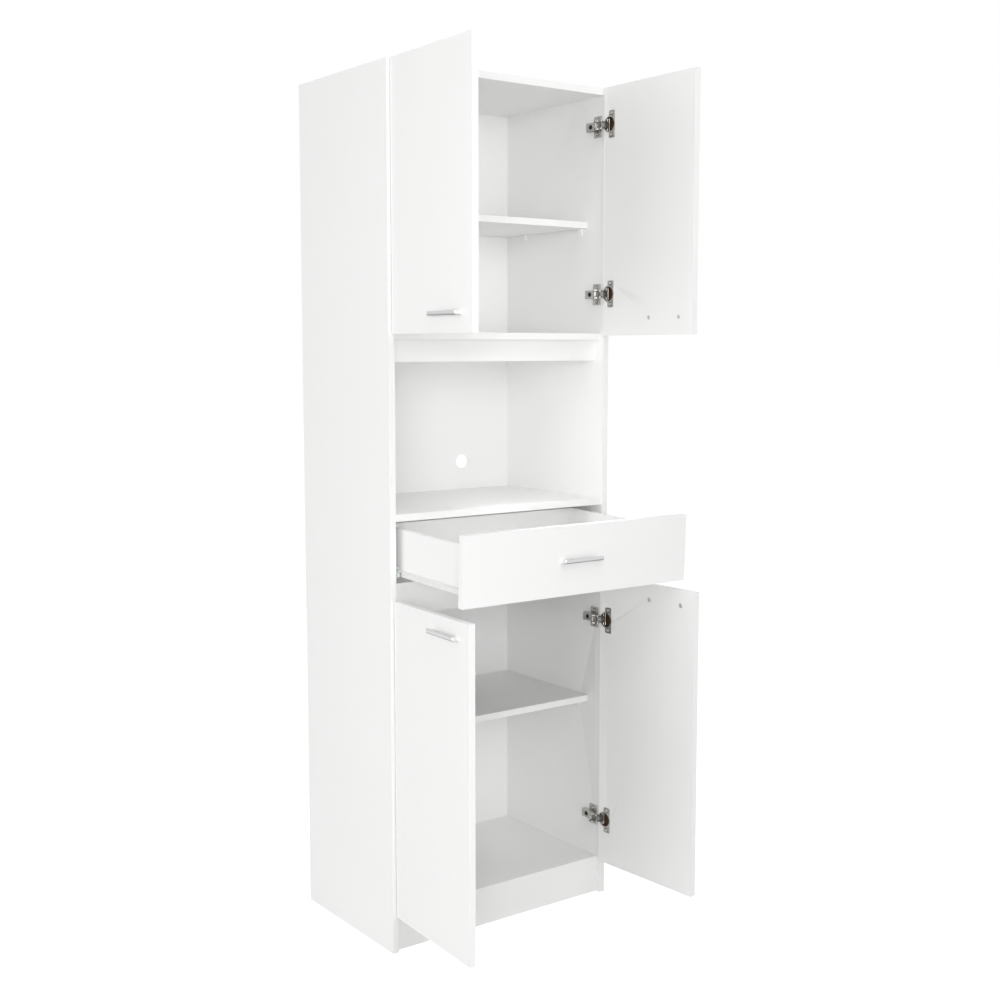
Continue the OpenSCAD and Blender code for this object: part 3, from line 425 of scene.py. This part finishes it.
BOARD_EASE = 0.6 * MM
THIN_EASE = 0.3 * MM
BOARDS = [node for node in nodes if SLOT_OF[node] in ("white_laminate", "white_back")]
for node in BOARDS:
    thin = SLOT_OF[node] == "white_back"
    eased_copy(node, THIN_EASE if thin else BOARD_EASE)
print("eased boards:", len(BOARDS))

# %% [markdown]
# ## Measuring the frame
# The doors stand open at odd angles, so small pieces can't be placed by X, Y and Z alone. Each
# solid of a node is found by letting the lowest label spread over its triangles, and its own axes
# come from the spread of its corners: a screw is longest along its shank, a handle along its bar.

# %% Solids and axes


def solids_of(node):
    """The corner points of each separate solid in a node: labels spread over shared corners."""
    mesh = nodes[node].data
    points = np.empty(3 * len(mesh.vertices))
    mesh.vertices.foreach_get("co", points)
    corner = np.empty(len(mesh.loops), dtype=np.int64)
    mesh.loops.foreach_get("vertex_index", corner)
    grid = np.round(points.reshape(-1, 3) / WELD).astype(np.int64)
    places, same = np.unique(grid, axis=0, return_inverse=True)
    triangles = same.reshape(-1)[corner].reshape(-1, 3)
    label = np.arange(len(places))
    while True:
        spread = label.copy()
        np.minimum.at(spread, triangles.ravel(), np.repeat(label[triangles].min(axis=1), 3))
        if (spread == label).all():
            return [places[label == one] * WELD for one in np.unique(label)]
        label = spread


def axes_of(points):
    """Unit axes of a point set, from its longest spread to its shortest, as rows."""
    return np.linalg.svd(points - points.mean(axis=0), full_matrices=False)[2]


def extent(points, axis):
    """Lowest and highest reach of a point set along an axis."""
    along = points @ axis
    return along.min(), along.max()


print("solids in carcass_screws:", len(solids_of("carcass_screws")))

# %% [markdown]
# ## One helper for every turned or drawn shape
# A screw is a profile turned about an axis, and a handle is a profile carried along a line. Both
# are a stack of rings with a point at each end, so one function closes them all.

# %% Rings to a mesh


def closed_rings(rings):
    """Corners and faces of stacked rings (rows, columns, 3), each end closed by a middle point."""
    rows, columns = rings.shape[:2]
    corners = np.vstack([rings.reshape(-1, 3), rings[0].mean(axis=0), rings[-1].mean(axis=0)])
    j = np.arange(columns)
    k = (j + 1) % columns
    i = np.arange(rows - 1)[:, None] * columns
    sides = np.stack([i + j, i + k, i + columns + k, i + columns + j], axis=-1).reshape(-1, 4)
    first = np.stack([k, j, np.full(columns, rows * columns)], axis=-1)
    last = np.stack([j, k, np.full(columns, rows * columns + 1)], axis=-1)
    last[:, :2] += (rows - 1) * columns
    return corners, sides.tolist() + first.tolist() + last.tolist()


def joined(parts):
    """One set of corners and faces out of several."""
    corners, faces, count = [], [], 0
    for part_corners, part_faces in parts:
        corners.append(part_corners)
        faces += [[index + count for index in face] for face in part_faces]
        count += len(part_corners)
    return np.vstack(corners), faces


def placed(part, origin, across, up, out):
    """A part's corners moved from its own (x, y, z) to a frame with those three axes."""
    corners, faces = part
    return origin + corners @ np.array([across, up, out]), faces


def piece_of(name, parts, body, slot_name, replaced=(), finish=None):
    """A smooth-shaded piece with sharp edges kept, which rides on a body."""
    corners, faces = joined(parts)
    mesh = bpy.data.meshes.new(name)
    mesh.from_pydata(corners, [], faces)
    shell = bmesh.new()
    shell.from_mesh(mesh)
    bmesh.ops.recalc_face_normals(shell, faces=shell.faces)
    shell.to_mesh(mesh)
    shell.free()
    mesh.shade_smooth()
    mesh.set_sharp_from_angle(angle=SHARP_ANGLE)
    piece = bpy.data.objects.new(name, mesh)
    bpy.context.collection.objects.link(piece)
    piece.data.materials.append(FINISH[finish or slot_name])
    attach(piece, body)
    if replaced:
        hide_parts(*replaced)


# %% [markdown]
# ## Handles
# Each handle is a satin metal bar on two polished feet. The bar's face is flat above and slopes
# back below, and the metal's painted shade on faces that point down darkens that slope, which
# reads as a dark line from the front. The bar is one profile carried along its length, and its
# face falls back at both ends. A foot is a profile carried out from the door, flush with the
# bar's end.

# %% Handles
BAR_H, BAR_T, BAR_CORNER = 9 * MM, 6 * MM, 1.1 * MM
SLOPE_FROM, SLOPE = -1.5 * MM, 0.75
END_R, END_STEPS = 5 * MM, 9
FOOT_W, FOOT_H, FOOT_CORNER, FOOT_PITCH = 9.6 * MM, 8.4 * MM, 1.0 * MM, 96 * MM
FOOT_LEVELS = np.array([0, 0.3, 0.8, 2.0, 7.0]) / 7.0  # shares of the way out to the bar
FOOT_SLIM, FOOT_BASE = 0.05, 0.1  # how much less tall it gets, and within what share of the way
CORNER_STEPS = 5


def rounded(width, height, corner):
    """A rectangle with a quarter circle at each corner, as points that run round it."""
    turn = np.linspace(0, math.pi / 2, CORNER_STEPS)
    arc = corner * np.stack([np.cos(turn), np.sin(turn)], axis=-1)
    reach = np.array([width / 2 - corner, height / 2 - corner])
    back = arc[::-1]
    quarters = [
        (arc, (1, 1)), (back * (-1, 1), (-1, 1)), (-arc, (-1, -1)), (back * (1, -1), (1, -1)),
    ]
    return np.vstack([points + reach * signs for points, signs in quarters])


def bar(length, out):
    """The section carried along X, falling back at the ends on a quarter circle of END_R."""
    section = rounded(BAR_H, BAR_T, BAR_CORNER)
    bend = [[SLOPE_FROM, BAR_T / 2]]
    section = np.vstack([section[:CORNER_STEPS], bend, section[CORNER_STEPS:]])
    below = np.clip(SLOPE_FROM - section[:, 0], 0, None)
    section[:, 1] -= np.where(section[:, 1] > 0, below * SLOPE, 0)
    turn = np.linspace(0, math.pi / 2, END_STEPS)
    ends = length / 2 - END_R * (1 - np.sin(turn))
    fall = END_R * (1 - np.cos(turn))
    x = np.concatenate([-ends[::-1], ends])
    thick = 1 - np.concatenate([fall[::-1], fall])[:, None] / BAR_T
    z = (section[:, 1] + BAR_T / 2) * thick - BAR_T / 2 + out
    x = np.broadcast_to(x[:, None], z.shape)
    y = np.broadcast_to(section[:, 0], z.shape)
    return closed_rings(np.stack([x, y, z], axis=-1))


def foot(x, top):
    """A rounded block from the door to the bar's middle, a little less tall above its base."""
    outline = rounded(FOOT_W, FOOT_H, FOOT_CORNER)
    z = FOOT_LEVELS * top
    slimmer = 1 - FOOT_SLIM * np.clip(z / (FOOT_BASE * top), 0, 1)
    y = outline[:, 1] * slimmer[:, None]
    x = np.broadcast_to(x + outline[:, 0], y.shape)
    z = np.broadcast_to(z[:, None], y.shape)
    return closed_rings(np.stack([x, y, z], axis=-1))


def handle(node):
    """A handle in the frame of its CAD solid: along its bar, up, and out from the door."""
    points = solids_of(node)[0]
    along, out, _ = axes_of(points)
    middle = sum(extent(points, out)) / 2
    out = out if (points @ out > middle).mean() > 0.5 else -out
    along = along if np.cross(along, out)[2] < 0 else -along
    up = np.cross(out, along)
    low, high = extent(points, out)
    start, end = extent(points, along)
    origin = along * (start + end) / 2 + up * sum(extent(points, up)) / 2 + out * low
    reach = high - low - BAR_T / 2
    parts = [bar(end - start, reach), foot(-FOOT_PITCH / 2, reach), foot(FOOT_PITCH / 2, reach)]
    return [placed(part, origin, along, up, out) for part in parts]


for name in [door + "_handle" for door in DOORS] + ["drawer_handle"]:
    grip, *feet = handle(name)
    piece_of(name + "_bar", [grip], BODY_OF[name], "handle_metal", [name])
    piece_of(name + "_feet", feet, BODY_OF[name], "handle_metal", [name], "polished_feet")
print("handles:", len(DOORS) + 1)

# %% [markdown]
# ## Screws
# Furniture screws have a low domed head with a cross recess. The head is a surface over radius
# and angle: a dome, minus a cross whose arms are the places near the two lines through the
# middle.

# %% Screws
SCREW_TURNS = 40
HEAD_RINGS = np.array([0.04, 0.1, 0.16, 0.22, 0.28, 0.34, 0.4, 0.46,
                       0.52, 0.58, 0.66, 0.78, 0.9, 0.97, 1])
RIM_H, RECESS_DEPTH = 0.35, 0.75  # shares of the head's height
RECESS_W, RECESS_WALL = 0.19, 0.08  # half its width and its wall's slope, in head radii
RECESS_R, RECESS_END = 0.62, 0.12  # its reach and its end's slope, in head radii
HEAD_FROM, UNDER_HEAD = 0.9, 0.2 * MM  # a head is this wide, and a shank starts this far below it
UPRIGHT = 0.9  # an axis that rises more than this is upright
SHADE_DISC, SHADE_DISC_H = 1.35, 0.15 * MM  # the radius of the painted shade disc over the head's radius, and its height
ARM_HEAD = 1.35  # the screw of an arm has a wider head, which covers its slot
CUP_SCREW, ARM_SCREW = 17 * MM, 9 * MM  # a cup's screws and an arm's are shorter than this
ADJUSTER_FORWARD = 11 * MM  # in front of the arm's screw
ADJUSTER_DOWN = 1.6 * MM  # from the top of that screw's head to the arm's face


def screw(head_r, head_h, shank_r, length):
    """A head above z = 0 and a shank below: a dome less a cross, then underside and shank."""
    turn = np.linspace(0, 2 * math.pi, SCREW_TURNS, endpoint=False)
    radius = head_r * HEAD_RINGS
    dome = head_h * (RIM_H + (1 - RIM_H) * np.sqrt(np.clip(1 - HEAD_RINGS ** 3, 0, 1)))
    off_arm = radius[:, None] * np.minimum(np.abs(np.sin(turn)), np.abs(np.cos(turn)))
    arm = np.clip((RECESS_W * head_r - off_arm) / (RECESS_WALL * head_r), 0, 1)
    reach = np.clip((RECESS_R * head_r - radius[:, None]) / (RECESS_END * head_r), 0, 1)
    head_z = dome[:, None] - RECESS_DEPTH * head_h * arm * reach
    rest_r = np.array([head_r, shank_r, shank_r, 0.4 * shank_r])
    rest_z = np.array([0, 0, -length + shank_r, -length])
    radius = np.concatenate([radius, rest_r])[:, None]
    z = np.vstack([head_z, np.broadcast_to(rest_z[:, None], (4, SCREW_TURNS))])
    return closed_rings(np.stack([radius * np.cos(turn), radius * np.sin(turn), z], axis=-1))


def screw_at(points, grow=1.0):
    """A screw in place of its CAD solid, whose wide end is the head, and a dark disc under it:
    painted shade round the head.
    """
    axis = axes_of(points)[0]
    centre = (points.min(axis=0) + points.max(axis=0)) / 2
    along = (points - centre) @ axis
    off = np.linalg.norm(points - centre - along[:, None] * axis, axis=1)
    head_r = off.max()
    wide = along[off > HEAD_FROM * head_r]
    if wide.mean() < 0:
        axis, along, wide = -axis, -along, -wide
    shank_r = off[along < wide.min() - UNDER_HEAD].max()
    across = np.cross(axis, UP if abs(axis[2]) < UPRIGHT else (1, 0, 0))
    across /= np.linalg.norm(across)
    part = screw(grow * head_r, along.max() - wide.min(), shank_r, wide.min() - along.min())
    seat = (centre + axis * wide.min(), across, np.cross(axis, across), axis)
    return placed(part, *seat), placed(disc(SHADE_DISC * head_r, SHADE_DISC_H), *seat)


def disc(radius, height):
    """A flat disc above z = 0: four rings that run out, up and in again."""
    turn = np.linspace(0, 2 * math.pi, SCREW_TURNS, endpoint=False)
    rings = radius * np.array([0.3, 1, 1, 0.3])[:, None]
    z = np.broadcast_to(np.array([0, 0, height, height])[:, None], (4, SCREW_TURNS))
    return closed_rings(np.stack([rings * np.cos(turn), rings * np.sin(turn), z], axis=-1))


def length_of(points):
    """How long a turned solid is."""
    return np.ptp(extent(points, axes_of(points)[0]))


def adjuster(points):
    """The small screw in front of an arm's screw, with its head on the arm's face."""
    side = math.copysign(1, points[:, 0].mean())
    face = np.abs(points[:, 0]).min() + ADJUSTER_DOWN
    place = (side * face, points[:, 1].mean() - ADJUSTER_FORWARD, sum(extent(points, UP)) / 2)
    part = screw(head_r=2.6 * MM, head_h=0.9 * MM, shank_r=1.2 * MM, length=1.1 * MM)
    return placed(part, np.array(place), (0, 1, 0), (0, 0, -side), (-side, 0, 0))


arm_screws, other_screws, shade_discs, adjusters = [], [], [], []
for points in solids_of("carcass_screws"):
    if length_of(points) < ARM_SCREW:
        arm_screws.append(screw_at(points, ARM_HEAD)[0])
        adjusters.append(adjuster(points))
    else:
        head, shade_disc = screw_at(points)
        other_screws.append(head)
        shade_discs.append(shade_disc)
piece_of("arm_screws", arm_screws, "carcass", "hinge_links", ["carcass_screws"], "blackened")
piece_of("side_screws", other_screws, "carcass", "zinc", ["carcass_screws"])
# Dark discs under the screw heads: painted shade round each head.
piece_of("side_screws_shade_discs", shade_discs, "carcass", "hinge_links")
for name in [door + "_screws" for door in DOORS] + ["drawer_screws"]:
    solids = solids_of(name)
    heads, shade_discs = zip(*[screw_at(points) for points in solids])
    piece_of(name + "_heads", heads, BODY_OF[name], "zinc", [name])
    # Dark discs under the short screws' heads: painted shade round each head.
    shade_discs = [shade_disc for shade_disc, points in zip(shade_discs, solids) if length_of(points) < CUP_SCREW]
    if shade_discs:
        piece_of(name + "_shade_discs", shade_discs, BODY_OF[name], "hinge_links")
piece_of("adjusting_screws", adjusters, "carcass", "zinc")
print("arm screws:", len(arm_screws), "other screws of the carcass:", len(other_screws))

# %% [markdown]
# ## Hinge cups
# Down in each cup lies a dark brown plate, painted shade for the deep hollow of the cup and the
# darkest thing in the photograph. It is a thin turned disc on the cup's floor. The cup's place is
# known from the door's edge, so the door's own directions come first: a board is thinnest straight
# across, and a fine search finds that direction.

# %% Cup floors
CUP_FROM_EDGE, CUP_INNER_R, CUP_FLOOR = 21.5 * MM, 16.2 * MM, 10.95 * MM
PLATE_T, PLATE_RIM, PLATE_TURNS = 0.15 * MM, 0.8 * MM, 64
PLATE_RADII = np.array([0.2, 0.99, 0.99, 0.95, 0.93, 0.2])  # shares of the cup's inner radius
HINGE_X, HINGE_Y = 0.285, -0.0195  # near a door's hinges, to tell its two edges apart
SCAN_DEGREES, SCAN_STEPS = 4, 8001


def door_frame(door):
    """A door's edge line, width axis and inward axis, along which its board is thinnest."""
    points = solids_of(door + "_door")[0]
    hinge = np.array([-HINGE_X if "left" in door else HINGE_X, HINGE_Y, 0])
    rough = axes_of(points)[2]
    scan = np.linspace(-SCAN_DEGREES, SCAN_DEGREES, SCAN_STEPS)
    turn = math.atan2(rough[1], rough[0]) + np.radians(scan)
    normals = np.stack([np.cos(turn), np.sin(turn)])
    thinnest = np.ptp(points[:, :2] @ normals, axis=0).argmin()
    inward = np.array([*normals[:, thinnest], 0])
    middle = points.mean(axis=0)
    width = np.array([-inward[1], inward[0], 0])
    width = width if (middle - hinge) @ width > 0 else -width
    cups = np.vstack(solids_of(door + "_cups")).mean(axis=0)
    inward = inward if (cups - middle) @ inward > 0 else -inward
    edge = width * extent(points, width)[0] + inward * extent(points, inward)[1]
    return edge, width, inward


def cup_plate():
    """A thin disc with a raised rim, turned about Z, in the depth of the cup."""
    turn = np.linspace(0, 2 * math.pi, PLATE_TURNS, endpoint=False)
    radius = CUP_INNER_R * PLATE_RADII[:, None]
    depth = np.array([0, 0, PLATE_RIM, PLATE_RIM, PLATE_T, PLATE_T])[:, None] - CUP_FLOOR
    depth = np.broadcast_to(depth, (len(depth), len(turn)))
    return closed_rings(np.stack([radius * np.cos(turn), radius * np.sin(turn), depth], axis=-1))


for door in DOORS:
    edge, width, inward = door_frame(door)
    centre = edge + width * CUP_FROM_EDGE
    heights = [sum(extent(points, UP)) / 2 for points in solids_of(door + "_cups")]
    plates = [placed(cup_plate(), centre + UP * z, width, UP, inward) for z in heights]
    body = BODY_OF[door + "_cups"]
    # Painted shade: a dark brown disc on each cup's floor.
    piece_of(door + "_cup_floors", plates, body, "hinge_links", finish="painted_cup_shade")
print("cup floors:", 2 * len(DOORS))

# %% [markdown]
# ## Pressed and moulded parts
# Shelf pins, runners, rollers and the pressed parts of the hinges keep their CAD shape. A copy
# with rolled edges gives each a bright rim, which is all that tells small bright parts from a
# bright wall.

# %% Eased small parts
PRESSED_EASE, MOULDED_EASE = 0.25 * MM, 0.5 * MM
PRESSED = ["hinge_plates", "hinge_arms", "cabinet_runners", "drawer_runners"]
PRESSED += [door + "_cups" for door in DOORS]
MOULDED = ["shelf_pins", "cabinet_rollers", "drawer_rollers"]
for node in PRESSED:
    eased_copy(node, PRESSED_EASE)
for node in MOULDED:
    eased_copy(node, MOULDED_EASE)
print("eased small parts:", len(PRESSED) + len(MOULDED))
